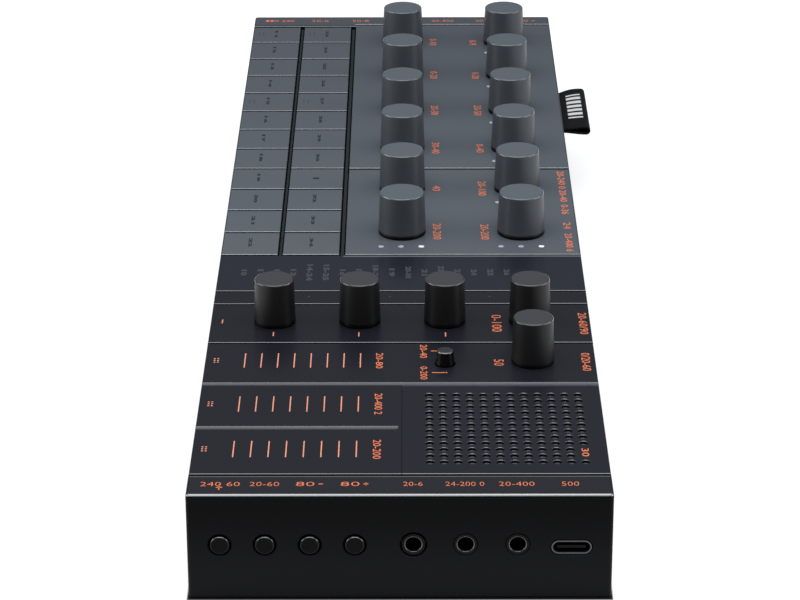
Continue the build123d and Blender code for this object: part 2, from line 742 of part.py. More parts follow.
# --- End buttons: round caps whose flanges stop behind the wall -----------------------
def make_end_button(x):
    """One push button, pressed along +Y."""
    flange_y = -inner_half_length + strip_clearance
    with BuildPart() as button:
        with BuildSketch(near_face(-half_length - button_proud)):
            with Locations((x, socket_z)):
                Circle(button_radius)
        extrude(amount=-half_length - button_proud - flange_y)
        fillet(button.edges().sort_by(Axis.Y)[0], button_edge)
        with BuildSketch(near_face(flange_y)):
            with Locations((x, socket_z)):
                Circle(button_radius + button_flange)
        extrude(amount=-button_flange_thickness)
        with BuildSketch(near_face(flange_y + button_flange_thickness)):
            with Locations((x, socket_z)):
                Circle(button_stem_radius)
        extrude(amount=-button_stem_length + strip_clearance)
    return button.part


for number, (x, _) in enumerate(button_places, start=1):
    save(make_end_button(x), f"end_button_{number}")

# --- Button strips: caps moulded in one piece on springy bars behind the walls --------
with BuildPart() as button_strips:
    far_bar_y = inner_half_length - strip_clearance
    with BuildSketch(near_face(far_bar_y)):
        with Locations((0, socket_z)):
            Rectangle(2 * far_cap_x[-1] + 2 * strip_margin, strip_height)
    extrude(amount=strip_thickness)
    with BuildSketch(near_face(far_bar_y)):
        with Locations(*[(x, socket_z) for x in far_cap_x]):
            Circle(cap_radius)
    extrude(amount=-(case_wall + strip_clearance + cap_proud))
    fillet(button_strips.edges().group_by(Axis.Y)[-1], cap_edge)
    side_bar_x = inner_half_width - strip_clearance
    with BuildSketch(side_face(side_bar_x)):
        for group in side_cap_groups:
            with Locations(((group[0] + group[-1]) / 2, socket_z)):
                Rectangle(group[-1] - group[0] + 2 * strip_margin, strip_height)
    extrude(amount=-strip_thickness)
    with BuildSketch(side_face(side_bar_x)):
        with Locations(*[(y, socket_z) for y in side_cap_y]):
            Circle(cap_radius)
    extrude(amount=case_wall + strip_clearance + cap_proud)
    fillet(button_strips.edges().group_by(Axis.X)[-1], cap_edge)
save(button_strips.part, "button_strips")

# --- Woven tag: a folded loop whose ends are held in the case's side slit -------------
with BuildPart() as woven_tag:
    with BuildSketch(near_face(tag_y - tag_length / 2)):
        for inset, mode in ((0, Mode.ADD), (tag_cloth, Mode.SUBTRACT)):
            root = tag_root_height / 2 - inset
            belly = tag_belly / 2 - inset
            tail_x = half_width - tag_tail
            belly_x = half_width + tag_reach - tag_belly / 2
            with BuildLine():
                under = Line((tail_x, tag_z - root), (half_width, tag_z - root))
                lower = Spline(under @ 1, (belly_x, tag_z - belly), tangents=((1, 0), (1, 0)))
                fold = ThreePointArc(lower @ 1, (belly_x + belly, tag_z), (belly_x, tag_z + belly))
                upper = Spline(fold @ 1, (half_width, tag_z + root), tangents=((-1, 0), (-1, 0)))
                over = Line(upper @ 1, (tail_x, tag_z + root))
                Line(over @ 1, under @ 0)
            make_face(mode=mode)
    extrude(amount=-tag_length)
save(woven_tag.part, "woven_tag")
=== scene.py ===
import math

import bpy
from mathutils import Matrix, Vector


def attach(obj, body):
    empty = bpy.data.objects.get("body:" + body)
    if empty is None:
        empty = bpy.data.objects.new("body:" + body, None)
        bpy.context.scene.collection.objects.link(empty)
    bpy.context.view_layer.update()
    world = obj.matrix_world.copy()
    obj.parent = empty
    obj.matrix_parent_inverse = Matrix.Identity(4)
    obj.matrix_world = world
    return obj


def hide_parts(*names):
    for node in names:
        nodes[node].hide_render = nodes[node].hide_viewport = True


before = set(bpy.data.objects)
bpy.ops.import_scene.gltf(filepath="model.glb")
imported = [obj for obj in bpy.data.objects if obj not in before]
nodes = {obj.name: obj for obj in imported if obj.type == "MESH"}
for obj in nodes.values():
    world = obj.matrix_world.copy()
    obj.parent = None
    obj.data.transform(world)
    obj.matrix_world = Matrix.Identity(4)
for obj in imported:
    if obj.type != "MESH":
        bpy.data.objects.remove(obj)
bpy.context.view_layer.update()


# --- Table, camera and lamps ----------------------------------------------------------
# The machine lies on a plain white table in a plain room. A wide lamp hangs low over it, two more stand
# further off on its left and right, and the camera looks along it from its near end.
class Tone:
    """One value inside a material, so that shades are worked out as plain sums."""

    def __init__(self, finish, socket):
        self.finish = finish
        self.socket = socket

    def work(self, operation, first, second):
        return self.finish.node("ShaderNodeMath", {"operation": operation}, {0: first, 1: second})

    def __add__(self, other):
        return self.work("ADD", self, other)

    def __sub__(self, other):
        return self.work("SUBTRACT", self, other)

    def __rsub__(self, other):
        return self.work("SUBTRACT", other, self)

    def __mul__(self, other):
        return self.work("MULTIPLY", self, other)

    def __abs__(self):
        return self.work("ABSOLUTE", self, 0.0)

    __radd__ = __add__
    __rmul__ = __mul__


class Finish:
    """The node tree of one material. node() sets a node's settings first, then its sockets."""

    def __init__(self, name, holder=None):
        self.material = holder or bpy.data.materials.new(name)
        self.material.use_nodes = True
        self.tree = self.material.node_tree
        self.tree.nodes.clear()

    def node(self, kind, settings=None, sockets=None, out=0):
        made = self.tree.nodes.new(kind)
        for name, value in (settings or {}).items():
            setattr(made, name, value)
        for name, value in (sockets or {}).items():
            if isinstance(value, Tone):
                self.tree.links.new(value.socket, made.inputs[name])
            else:
                made.inputs[name].default_value = value
        return Tone(self, made.outputs[out] if len(made.outputs) else None)

    def noise(self, at, scale, detail):
        return self.node("ShaderNodeTexNoise", {}, {"Vector": at, "Scale": scale, "Detail": detail})

    def blend(self, share, first, second):
        return self.node("ShaderNodeMix", {"data_type": "RGBA"}, {0: share, 6: first, 7: second}, 2)

    def ease(self, value, none_at, full_at):
        """A soft step from 0 at one value to 1 at another."""
        return self.node(
            "ShaderNodeMapRange",
            {"interpolation_type": "SMOOTHSTEP"},
            {"Value": value, "From Min": none_at, "From Max": full_at},
        )

    def bump(self, strength, distance, height):
        sockets = {"Strength": strength, "Distance": distance, "Height": height}
        return self.node("ShaderNodeBump", {}, sockets)

    def done(self, sockets):
        surface = self.node("ShaderNodeBsdfPrincipled", {}, sockets)
        self.node("ShaderNodeOutputMaterial", {}, {"Surface": surface})
        return self.material


mm = 0.001
case_half_width = 48.5 * mm
case_half_length = 171.5 * mm

scene = bpy.context.scene
scene.view_settings.view_transform = "Standard"

bpy.ops.object.select_all(action="DESELECT")
bpy.ops.object.camera_add(
    location=(0.0019819, -0.7712265, 0.3374606), rotation=(1.1577403, 0.0021743, 0.0020461)
)
camera = bpy.context.object
camera.data.lens = 134.424
camera.data.sensor_width = 36.0
scene.camera = camera

bpy.ops.mesh.primitive_circle_add(vertices=96, radius=9.0, fill_type="NGON", location=(0, 0, 0))
table = bpy.context.object
table.name = "table"

laminate = Finish("white_table")
seen = laminate.node("ShaderNodeLightPath", out="Is Camera Ray")
mirrored = laminate.node("ShaderNodeLightPath", out="Is Glossy Ray")
through = laminate.node("ShaderNodeLightPath", out="Is Transmission Ray")
shown = seen.work("MINIMUM", seen + mirrored + through, 1.0)
at = laminate.node("ShaderNodeTexCoord", out="Object")
across, along = [abs(laminate.node("ShaderNodeSeparateXYZ", {}, {0: at}, axis)) for axis in "XY"]
# Under the case and close beside its foot the table is in full shade.
beside = laminate.ease(across, case_half_width + 0.6 * mm, case_half_width + 0.1 * mm)
contact = beside * laminate.ease(along, case_half_length + 1.4 * mm, case_half_length + 0.5 * mm)
paint = laminate.blend(contact, (0.5, 0.5, 0.5, 1), (0.02, 0.02, 0.02, 1))
lit = laminate.node("ShaderNodeBsdfDiffuse", {}, {"Color": paint})
shown = shown * (1.0 - contact)
glow = laminate.node("ShaderNodeEmission", {}, {"Color": (1, 1, 1, 1), "Strength": shown * 0.7})
both = laminate.node("ShaderNodeAddShader", {}, {0: lit, 1: glow})
laminate.node("ShaderNodeOutputMaterial", {}, {"Surface": both})
table.data.materials.append(laminate.material)

room = bpy.data.worlds.new("room")
scene.world = room
sky = Finish("room", room)
towards = sky.node("ShaderNodeTexCoord", out="Generated")
height = sky.node("ShaderNodeSeparateXYZ", {}, {"Vector": towards}, "Z")
strength = sky.ease(height, 0.15, 0.9) * 0.57 + 0.1
strength = strength * (sky.ease(height, 0.33, 0.385) * 0.35 + 0.65)
daylight = sky.node("ShaderNodeBackground", {}, {"Color": (0.86, 0.92, 1.0, 1), "Strength": strength})
sky.node("ShaderNodeOutputWorld", {}, {"Surface": daylight})

for lamp_name, spot, turn, width, depth, power in (
    ("overhead_lamp", (0.0, -0.24, 0.75), (0.0, 0.0, 0.0), 0.9, 0.7, 4.0),
    ("left_lamp", (-1.1, -0.15, 0.4), (0.0, math.radians(-71), 0.0), 0.5, 0.9, 5.0),
    ("right_lamp", (1.1, -0.15, 0.4), (0.0, math.radians(71), 0.0), 0.5, 0.9, 4.6),
):
    bpy.ops.object.light_add(type="AREA", location=spot, rotation=turn)
    lamp = bpy.context.object
    lamp.name = lamp_name
    lamp.data.shape = "RECTANGLE"
    lamp.data.size = width
    lamp.data.size_y = depth
    lamp.data.energy = power


# --- Black case -----------------------------------------------------------------------
# One slim tray of black ABS, open at the top under its cover plates. The spark-eroded mould leaves a
# fine even grain, and hands have polished its near edge, which is also painted lighter as a painted
# highlight.
# Its bare near rim is painted as the plates are, with a painted highlight line and a painted shadow line
# along its far edge. The walls are painted paler towards the foot as a painted reflection of the table.
panel_top = 26.6 * mm


def shade(red, green, blue):
    """A paint colour in the scale that the materials work in, from its 0 to 255 screen values."""
    steps = [value / 255 for value in (red, green, blue)]
    return tuple(s / 12.92 if s <= 0.04045 else ((s + 0.055) / 1.055) ** 2.4 for s in steps) + (1.0,)


def scaled(colour, share):
    return tuple(min(1.0, value * share) for value in colour[:3]) + (1.0,)


def facing(finish, axis):
    """How far the surface faces along an axis, from -1 to 1."""
    normal = finish.node("ShaderNodeNewGeometry", out="Normal")
    return finish.node("ShaderNodeSeparateXYZ", {}, {0: normal}, axis)


def place(finish, axis):
    """Where a point of the piece is along an axis, in metres."""
    at = finish.node("ShaderNodeTexCoord", out="Object")
    return finish.node("ShaderNodeSeparateXYZ", {}, {0: at}, axis)


def rounded_edges(finish, axis="Z"):
    """1 on the rounding between a face across the axis and the walls along it, and 0 on both."""
    tilt = abs(facing(finish, axis))
    return finish.ease(tilt, 0.1, 0.3) * finish.ease(tilt, 0.996, 0.95)


def near_edges(finish, lowest=0.7, deepest=0.08 * mm):
    """1 on the upper part of a rounding that faces the player, who sits at the near end."""
    high = finish.ease(place(finish, "Z"), panel_top - deepest - 0.02 * mm, panel_top - deepest)
    faces_near = finish.ease(facing(finish, "Y"), -0.04, -0.2)
    return finish.ease(facing(finish, "Z"), lowest - 0.1, lowest) * high * faces_near * rounded_edges(finish)


def case_edges(finish):
    return near_edges(finish, 0.48, 0.6 * mm)


def moulded(
    name, colour, rough, grain=0.25, depth=0.004, specular=0.5, polish=0.0, gloss=1.5, haze=0.2,
    edges=rounded_edges, zones=None,
):
    """Moulded plastic: mould grain, faint clouding, a little dust and polished edges, which are also painted
    lighter as a painted highlight.
    """
    finish = Finish(name)
    at = finish.node("ShaderNodeTexCoord", out="Object")
    fine = finish.noise(at, 1 / (grain * mm), 2.0)
    cloud = finish.noise(at, 24.0, 5.0)
    dust = finish.ease(finish.noise(at, 900.0, 3.0), 0.66, 0.78)
    edge = edges(finish)
    body = finish.blend(cloud, scaled(colour, 0.93), scaled(colour, 1.07))
    body = finish.blend(dust * 0.17, body, scaled(colour, 1.5))
    # Painted highlight: every rounded edge is painted lighter than the body.
    body = finish.blend(edge * 0.35, body, scaled(colour, 1.4))
    for share, tint in zones(finish) if zones else ():
        body = finish.blend(share, body, tint)
    sockets = {
        "Base Color": body,
        "Roughness": rough + (cloud - 0.5) * 0.12 + (fine - 0.5) * 0.1 - edge * 0.1,
        "Specular IOR Level": specular,
        "Normal": finish.bump(0.5, depth * mm, fine),
    }
    if polish:
        sockets["Coat Weight"] = edge * polish
        sockets["Coat Roughness"] = haze
        sockets["Coat IOR"] = gloss
    return finish.done(sockets)


def dress(name, material):
    nodes[name].material_slots[0].material = material


def case_zones(finish):
    """The near rim in plate paint, with a painted highlight on its lip and a painted shadow line at its far
    edge, and walls painted paler towards the foot as a painted reflection of the table.
    """
    rim = finish.ease(facing(finish, "Z"), 0.85, 0.99) * finish.ease(place(finish, "Z"), 26.2 * mm, 26.4 * mm)
    # Painted highlight: a light line on the lip near the rim's far edge.
    lip = rim * finish.ease(place(finish, "Y"), -162.58 * mm, -162.44 * mm)
    # Painted shadow: a black line in the joint before the plates.
    painted_gap_shadow = rim * finish.ease(place(finish, "Y"), -162.22 * mm, -162.14 * mm)
    # Painted reflection of the table: the walls are painted paler towards the foot.
    foot = finish.ease(place(finish, "Z"), 24.0 * mm, 4.0 * mm) * 0.8
    return (
        (foot, shade(36, 36, 38)), (rim, shade(42, 43, 48)), (lip, shade(104, 104, 108)),
        (painted_gap_shadow, shade(5, 5, 6)),
    )


case_plastic = moulded(
    "case_plastic", shade(12, 12, 13), 0.42, specular=0.05, polish=1.0, gloss=3.3, haze=0.3,
    edges=case_edges, zones=case_zones,
)
dress("top_case", case_plastic)


# --- Board, battery and speaker -------------------------------------------------------
# What the case holds: a green circuit board with its encoders and switches, a flat battery pack in a
# foil wrap, and a small speaker on a pressed steel basket. Screws through the bottom cover shut them in.
def board_finish():
    """Glass-fibre board under green lacquer, with copper tracks that show through it."""
    finish = Finish("board_lacquer")
    at = finish.node("ShaderNodeTexCoord", out="Object")
    rows = finish.node(
        "ShaderNodeTexWave",
        {"wave_type": "BANDS", "bands_direction": "X"},
        {"Vector": at, "Scale": 110.0, "Distortion": 6.0, "Detail": 2.0, "Detail Scale": 3.0},
        1,
    )
    tracks = finish.ease(rows, 0.72, 0.8)
    lacquer = finish.blend(tracks, shade(18, 74, 44), shade(46, 112, 66))
    return finish.done(
        {
            "Base Color": lacquer,
            "Roughness": 0.5 - tracks * 0.15,
            "Normal": finish.bump(0.4, 0.03 * mm, tracks),
        }
    )


def steel_finish(name, colour, rough, metallic):
    """Rolled metal: fine lines left by the rollers and a soft clouding."""
    finish = Finish(name)
    at = finish.node("ShaderNodeTexCoord", out="Object")
    along = finish.node("ShaderNodeMapping", {}, {"Vector": at, "Scale": (3000.0, 120.0, 3000.0)})
    lines = finish.noise(along, 1.0, 3.0)
    cloud = finish.noise(at, 60.0, 4.0)
    return finish.done(
        {
            "Base Color": finish.blend(cloud, scaled(colour, 0.85), scaled(colour, 1.12)),
            "Metallic": metallic,
            "Roughness": rough + (lines - 0.5) * 0.2,
            "Normal": finish.bump(0.3, 0.01 * mm, lines),
        }
    )


dress("main_board", board_finish())
dress("battery_pack", steel_finish("battery_foil", shade(176, 180, 184), 0.38, 0.85))
dress("speaker", steel_finish("speaker_steel", shade(92, 94, 98), 0.4, 0.7))
dress("case_screws", steel_finish("screw_steel", shade(58, 58, 60), 0.35, 1.0))


# --- Bottom cover and feet ------------------------------------------------------------
# A flat black cover closes the case from below. Round rubber feet are stuck into its shallow wells and
# stand a little proud of it.
cover_plastic = moulded("cover_plastic", shade(18, 18, 19), 0.5, grain=0.4, depth=0.01, specular=0.3)
dress("bottom_cover", cover_plastic)
rubber = moulded("foot_rubber", shade(26, 26, 27), 0.78, grain=0.3, depth=0.012, specular=0.25)
dress("rubber_feet", rubber)


# --- Rating label ---------------------------------------------------------------------
# A thin silver-grey polyester label with rounded corners, stuck under the machine. It is printed with one
# fine frame line and otherwise bare.
cover_underside = 0.3 * mm
label_width = 44.0 * mm
label_length = 20.0 * mm
label_y = 40.0 * mm
label_corner = 2.0 * mm
label_thickness = 0.06 * mm


def label_field(finish, inset):
    """1 where the label is more than an inset away from its edge."""
    side = label_width / 2 - inset
    end = label_length / 2 - inset
    across = finish.ease(abs(place(finish, "X")), side, side - 0.1 * mm)
    return across * finish.ease(abs(place(finish, "Y") - label_y), end, end - 0.1 * mm)


def label_zones(finish):
    """The frame line, a little inside the label's edge."""
    line = label_field(finish, 1.25 * mm) - label_field(finish, 1.5 * mm)
    return ((line, shade(44, 46, 50)),)


def thickened(made, rise):
    """The selected flat shape pulled up or down into a thin slab with its faces outwards."""
    bpy.ops.object.transform_apply(location=True, rotation=True, scale=True)
    bpy.ops.object.mode_set(mode="EDIT")
    bpy.ops.mesh.select_all(action="SELECT")
    bpy.ops.mesh.extrude_region_move(TRANSFORM_OT_translate={"value": (0, 0, rise)})
    bpy.ops.mesh.select_all(action="SELECT")
    bpy.ops.mesh.normals_make_consistent(inside=False)
    bpy.ops.object.mode_set(mode="OBJECT")
    return made


label_film = moulded(
    "label_film", shade(128, 131, 134), 0.35, grain=0.1, depth=0.001, specular=0.4, zones=label_zones
)
bpy.ops.object.select_all(action="DESELECT")
bpy.ops.mesh.primitive_plane_add(size=1, location=(0, label_y, cover_underside))
label = bpy.context.object
label.scale = (label_width, label_length, 1)
bpy.ops.object.transform_apply(location=True, rotation=True, scale=True)
bpy.ops.object.mode_set(mode="EDIT")
bpy.ops.mesh.select_all(action="SELECT")
bpy.ops.mesh.bevel(offset=label_corner, segments=6, affect="VERTICES")
bpy.ops.object.mode_set(mode="OBJECT")
thickened(label, -label_thickness)
label.name = "rating_label"
label.data.name = "rating_label"
label.data.materials.append(label_film)
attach(label, "case")


# --- Grey track panel -----------------------------------------------------------------
# One L-shaped cover plate, moulded in grey and given a satin lacquer, so that the knobs mirror faintly
# in it. Its near edge is rounded and catches the lamp. Orange figures are screen-printed on it.
ink_film = 0.03 * mm
groove_lips = (31.85 * mm, 162.7 * mm)
lip_reach = ((0.5 * mm, 0.44 * mm), (0.4 * mm, 0.34 * mm))
far_strip_y = 163.4 * mm


def gap_zones(finish):
    """Painted shade on a plate's roundings and in the gaps round it, up to where its near edge is polished,
    and its long sides darkened.
    """
    # Painted shade: roundings and walls below the polished near edges are painted near black.
    painted_gap_shade = finish.ease(facing(finish, "Z"), 0.93, 0.85) * (1.0 - near_edges(finish))
    side = finish.ease(abs(place(finish, "X")), 47.9 * mm, 48.2 * mm) * 0.7
    return ((side, shade(24, 25, 28)), (painted_gap_shade, shade(6, 6, 8)))


def track_zones(finish):
    """Near edges painted paler as a painted highlight, painted shade in the gaps and by the two fine grooves,
    and a far end painted darker as painted shade.
    """
    # Painted shade: the far end is painted darker, where the lamp's light falls off.
    painted_far_shade = finish.ease(place(finish, "Y"), 0.0, 150.0 * mm) * 0.55
    strip = finish.ease(place(finish, "Y"), far_strip_y, far_strip_y + 0.3 * mm) * 0.6
    upper = finish.ease(facing(finish, "Z"), 0.5, 0.6)
    # Painted shade: a dark band on the flat just before each fine groove's lip.
    middle, far = [
        finish.ease(abs(place(finish, "Y") - lip), *reach) * upper
        for lip, reach in zip(groove_lips, lip_reach)
    ]
    # Painted highlight: the near edges are painted paler.
    return (
        (painted_far_shade, shade(80, 84, 90)), (strip, shade(72, 75, 80)), *gap_zones(finish),
        (near_edges(finish) * 0.5, shade(150, 156, 163)), (middle, shade(12, 13, 15)),
        (far, shade(36, 39, 42)),
    )


track_lacquer = moulded(
    "track_lacquer", shade(87, 93, 100), 0.3, grain=0.2, depth=0.0015, specular=0.3, polish=1.0, gloss=2.1,
    edges=near_edges, zones=track_zones,
)
dress("track_panel", track_lacquer)


def ink(name, colour, rough=0.45, specular=0.4):
    """Screen-printed ink: a thin film, a little thinner and darker where the mesh of the screen was."""
    finish = Finish(name)
    at = finish.node("ShaderNodeTexCoord", out="Object")
    mesh = finish.noise(at, 6000.0, 1.0)
    patch = finish.noise(at, 160.0, 3.0)
    return finish.done(
        {
            "Base Color": finish.blend(mesh * 0.5 + patch * 0.5, scaled(colour, 0.85), scaled(colour, 1.15)),
            "Roughness": rough + (patch - 0.5) * 0.2,
            "Specular IOR Level": specular,
            "Normal": finish.bump(0.3, 0.01 * mm, mesh),
        }
    )


def figures(written, x, y, across, tall, turn=0.0, weight=-0.012):
    """A printed number, across by tall in mm as it is read, with its middle at x, y on the panel."""
    bpy.ops.object.select_all(action="DESELECT")
    bpy.ops.object.text_add(location=(0, 0, 0))
    made = bpy.context.object
    made.data.body = written
    made.data.resolution_u = 2
    made.data.extrude = 0.01
    made.data.offset = weight
    bpy.ops.object.convert(target="MESH")
    bpy.ops.object.origin_set(type="ORIGIN_GEOMETRY", center="BOUNDS")
    size = made.dimensions.copy()
    made.scale = (across * mm / size.x, tall * mm / size.y, ink_film / size.z)
    made.rotation_euler = (0, 0, math.radians(turn))
    made.location = (x * mm, y * mm, panel_top + ink_film / 2)
    bpy.ops.object.transform_apply(location=True, rotation=True, scale=True)
    return made


def stroke(x, y, across, along):
    """A printed bar, across by along in mm, with its middle at x, y on the panel."""
    bpy.ops.object.select_all(action="DESELECT")
    bpy.ops.mesh.primitive_plane_add(size=1, location=(x * mm, y * mm, panel_top))
    bpy.context.object.scale = (across * mm, along * mm, 1)
    return thickened(bpy.context.object, ink_film)


def dot(x, y, radius, sides=12):
    """A printed round dot."""
    bpy.ops.object.select_all(action="DESELECT")
    bpy.ops.mesh.primitive_circle_add(
        vertices=sides, radius=radius * mm, fill_type="NGON", location=(x * mm, y * mm, panel_top)
    )
    return thickened(bpy.context.object, ink_film)


def one_piece(name, parts, material, body="case"):
    """Joins the parts of one print or one moulding, names it and lets it ride on its body."""
    bpy.ops.object.select_all(action="DESELECT")
    for part in parts:
        part.select_set(True)
    bpy.context.view_layer.objects.active = parts[0]
    if len(parts) > 1:
        bpy.ops.object.join()
    whole = bpy.context.view_layer.objects.active
    whole.name = name
    whole.data.name = name
    whole.data.materials.clear()
    whole.data.materials.append(material)
    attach(whole, body)
    return whole


orange_ink = ink("orange_ink", shade(240, 130, 88))
side_turn = -90.0
side_weight = 0.002
track_rows = (145.22, 113.06, 80.9, 48.74, 16.58, -15.58)
track_figures = (
    ("0-10", 10.05, 0.2, 6.2), ("0-20", 10.05, 0.4, 6.7), ("20-30", 10.05, 0.5, 8.0),
    ("30-40", 10.05, 0.3, 9.0), ("40", 10.0, 0.3, 3.9), ("20-200", 9.9, 0.3, 11.3),
    ("0-9", 22.9, -0.4, 4.4), ("0-20", 23.1, -0.2, 5.8), ("20-50", 23.1, 0.2, 8.7),
    ("0-40", 23.05, 0.0, 6.8), ("20-100", 22.95, 0.1, 10.8), ("20-200", 22.95, -0.1, 10.8),
)
parts = []
for number, (written, x, shift, reach) in enumerate(track_figures):
    y = track_rows[number % 6] + shift
    parts.append(figures(written, x, y, reach, 2.3, side_turn, side_weight))
for written, y, reach in (
    ("20-240 0", 23.2, 13.4), ("20-40", 10.9, 8.8), ("0-36", 0.7, 7.0), ("24", -11.2, 4.6),
    ("20-400 6", -23.2, 12.8),
):
    parts.append(figures(written, 45.65, y, reach, 2.0, side_turn, side_weight))
one_piece("track_figures", parts, orange_ink)

far_print_y = 167.2
parts = [dot(x, far_print_y, 0.85) for x in (-44.0, -42.9)]
for written, x, reach in (
    ("0 240", -38.6, 6.4), ("20-6", -26.9, 5.6), ("20-8", -13.6, 5.4), ("20-400", 13.4, 7.2),
    ("20-50", 27.2, 6.0), ("60 +", 41.4, 5.0),
):
    parts.append(figures(written, x, far_print_y, reach, 1.9))
one_piece("far_strip_figures", parts, orange_ink)


# --- Pads -----------------------------------------------------------------------------
# Twenty-four flat keys in two columns, moulded in the same grey as the panel with a finer, drier grain.
# Each carries a small dark mark printed in its middle, turned to be read from the side. One has a bar.
pad_columns = (-40.65, -24.15)
pad_far_y = 153.26
pad_pitch = 16.08
pad_far_edge = 161.05 * mm
bar_pad = 20
faint_rows = (0, 4)


def pad_zones(finish):
    """Near edges painted paler as a painted highlight, painted shade in the gaps and on the far lips, and a
    far end painted darker as painted shade.
    """
    # Painted shade: the far end is painted darker, where the lamp's light falls off.
    painted_far_shade = finish.ease(place(finish, "Y"), -10.0 * mm, 130.0 * mm) * 0.75
    upper = finish.ease(facing(finish, "Z"), 0.5, 0.6)
    before = pad_far_edge - place(finish, "Y")
    # Painted shade: the far lips of the pads are painted dark, darkest on the first row.
    farthest = finish.ease(before, 0.93 * mm, 0.87 * mm) * upper
    lip = finish.ease(before.work("MODULO", before, pad_pitch * mm), 0.56 * mm, 0.5 * mm) * upper * 0.6
    # Painted highlight: the near edges are painted paler.
    return (
        (painted_far_shade, shade(83, 87, 93)), *gap_zones(finish), (near_edges(finish) * 0.7, shade(160, 166, 173)),
        (lip, shade(8, 9, 11)), (farthest, shade(2, 2, 3)),
    )


pad_plastic = moulded(
    "pad_plastic", shade(90, 95, 101), 0.42, grain=0.18, depth=0.002, specular=0.25, polish=1.0, gloss=1.9,
    edges=near_edges, zones=pad_zones,
)
mark_ink = ink("mark_ink", shade(38, 40, 50))
pale_ink = ink("pale_ink", shade(70, 75, 84))
for number in range(24):
    name = f"pad_{number + 1:02d}"
    dress(name, pad_plastic)
    x = pad_columns[number // 12]
    row = number % 12
    y = pad_far_y - pad_pitch * row
    if number == bar_pad:
        mark = stroke(x - 0.2, y + 0.2, 1.75, 1.15)
    else:
        mark = figures(f"{number + 11}", x - 0.15, y + 0.7, 6.2, 0.95, side_turn, 0.05)
    one_piece(f"{name}_mark", [mark], mark_ink, name)
    if row in faint_rows:
        faint = [stroke(x - 4.3 - step * 1.4, y + 0.6, 0.35, 3.4) for step in (0, 1)]
        one_piece(f"{name}_faint_mark", faint, pale_ink, name)


# --- Strips between the pads ----------------------------------------------------------
# Two foam strips stand on the case's deck, one between the pad columns and one beside the grey panel,
# and keep the light of one pad from the next. Two small steel pins hold the first.
foam = moulded("gap_foam", shade(48, 54, 57), 0.9, grain=0.35, depth=0.03, specular=0.1)
gap_x = -32.4
strip_y = 64.9
strip_length = 191.6
strip_top = 25.85
parts = []
for x, width, bottom in ((gap_x, 0.7, 21.5), (-15.75, 0.9, 24.2)):
    bpy.ops.object.select_all(action="DESELECT")
    bpy.ops.mesh.primitive_plane_add(size=1, location=(x * mm, strip_y * mm, bottom * mm))
    strip = bpy.context.object
    strip.scale = (width * mm, strip_length * mm, 1)
    thickened(strip, (strip_top - bottom) * mm)
    soft = strip.modifiers.new("soft_edge", "BEVEL")
    soft.width = 0.12 * mm
    soft.segments = 2
    bpy.ops.object.modifier_apply(modifier=soft.name)
    parts.append(strip)
one_piece("gap_strips", parts, foam)
pin_radius = 0.42
pin_foot = 25.7
pin_height = 0.35
parts = []
for y in (-17.2, 137.6):
    bpy.ops.object.select_all(action="DESELECT")
    bpy.ops.mesh.primitive_circle_add(
        vertices=16, radius=pin_radius * mm, fill_type="NGON", location=(gap_x * mm, y * mm, pin_foot * mm)
    )
    pin = thickened(bpy.context.object, pin_height * mm)
    soft = pin.modifiers.new("rounded_top", "BEVEL")
    soft.width = 0.12 * mm
    soft.segments = 2
    soft.limit_method = "ANGLE"
    bpy.ops.object.modifier_apply(modifier=soft.name)
    parts.append(pin)
one_piece("gap_pins", parts, steel_finish("pin_steel", shade(96, 100, 102), 0.35, 1.0))


# --- Track knobs ----------------------------------------------------------------------
# Twelve tall grey knobs with slightly tapered sides and a rounded rim, each pushed onto an encoder's
# spindle. A thin black collar under each fills the gap above the panel, standing in for the shadow there, and
# turns with the knob.
def skirt(finish):
    """1 on the lowest part of a knob's side, which is painted dark as painted shade above the panel."""
    return finish.ease(place(finish, "Z"), panel_top + 1.3 * mm, panel_top + 1.16 * mm)


def grey_crown(finish):
    """A top painted paler as a painted highlight where the lamps fall on it, and a foot painted dark as
    painted shade.
    """
    painted_lit_top = finish.ease(facing(finish, "Z"), 0.9, 0.995)
    return ((painted_lit_top, shade(89, 96, 102)), (skirt(finish), shade(8, 9, 10)))


knob_plastic = moulded(
    "knob_plastic", shade(65, 70, 76), 0.4, grain=0.2, depth=0.002, specular=0.5, polish=1.0, gloss=1.7,
    zones=grey_crown,
)
# Painted shade: the collars are near black, standing in for the shadow in the gap under each knob.
shadow_collar_black = moulded("shadow_collar_black", shade(6, 6, 7), 0.5, grain=0.3, specular=0.1)
track_columns = (0.35, 32.8)
collar_top = 27.36 * mm
collar_bore = 3.7
track_collar_radius = 6.45


def collar(radius):
    """A flat black ring round a spindle, with a softly rounded outer edge."""
    bpy.ops.object.select_all(action="DESELECT")
    bpy.ops.mesh.primitive_circle_add(vertices=64, radius=radius * mm, location=(0, 0, panel_top))
    ring = bpy.context.object
    bpy.ops.object.transform_apply(location=True, rotation=True, scale=True)
    bpy.ops.object.mode_set(mode="EDIT")
    bpy.ops.mesh.select_all(action="SELECT")
    share = collar_bore / radius
    bpy.ops.mesh.extrude_edges_move()
    bpy.ops.transform.resize(value=(share, share, 1))
    bpy.ops.mesh.select_all(action="SELECT")
    rise = collar_top - panel_top
    bpy.ops.mesh.extrude_region_move(TRANSFORM_OT_translate={"value": (0, 0, rise)})
    bpy.ops.mesh.select_all(action="SELECT")
    bpy.ops.mesh.remove_doubles(threshold=0.000001)
    bpy.ops.mesh.normals_make_consistent(inside=False)
    bpy.ops.object.mode_set(mode="OBJECT")
    softened = ring.modifiers.new("rounded_edge", "BEVEL")
    softened.width = 0.15 * mm
    softened.segments = 2
    softened.limit_method = "ANGLE"
    bpy.ops.object.modifier_apply(modifier=softened.name)
    bpy.ops.object.shade_smooth_by_angle(angle=math.radians(35))
    return ring


